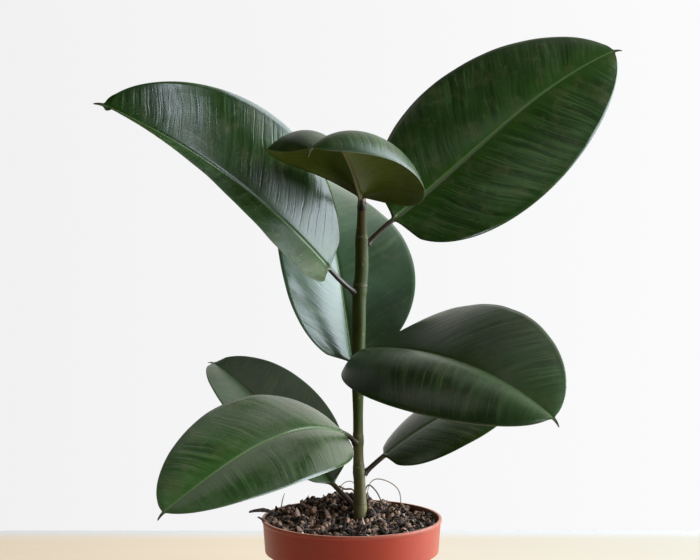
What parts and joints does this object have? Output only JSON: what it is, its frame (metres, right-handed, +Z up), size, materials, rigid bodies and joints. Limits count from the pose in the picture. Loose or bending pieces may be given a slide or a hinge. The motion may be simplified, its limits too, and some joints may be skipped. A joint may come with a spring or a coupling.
{
  "type": "potted rubber plant",
  "caption": "Young rubber plant with one upright stem and large glossy oval leaves, standing in potting mix in a round plastic nursery pot.",
  "frame": {"origin": "middle of the flat underside of the pot", "axes": "+Z up along the pot's axis, -Y towards the side the plant is seen from, +X to the right in that view"},
  "size_m": [0.3423, 0.2883, 0.4285],
  "materials": {
    "pot_plastic": "matte terracotta coloured polypropylene",
    "potting_mix": "loose damp peat and bark",
    "stem": "smooth green bark",
    "bud_sheath": "satin",
    "leaf": "glossy waxed leaf"
  },
  "bodies": {
    "root": {"pot": "pot_plastic", "potting_mix": "potting_mix", "stem": "stem", "bud_sheath": "bud_sheath", "leaf_lower_back": "leaf", "leaf_lower_right": "leaf", "leaf_lower_front": "leaf", "leaf_middle_back": "leaf", "leaf_middle_right": "leaf", "leaf_upper_left": "leaf", "leaf_upper_right": "leaf", "leaf_top": "leaf"}
  },
  "joints": []
}
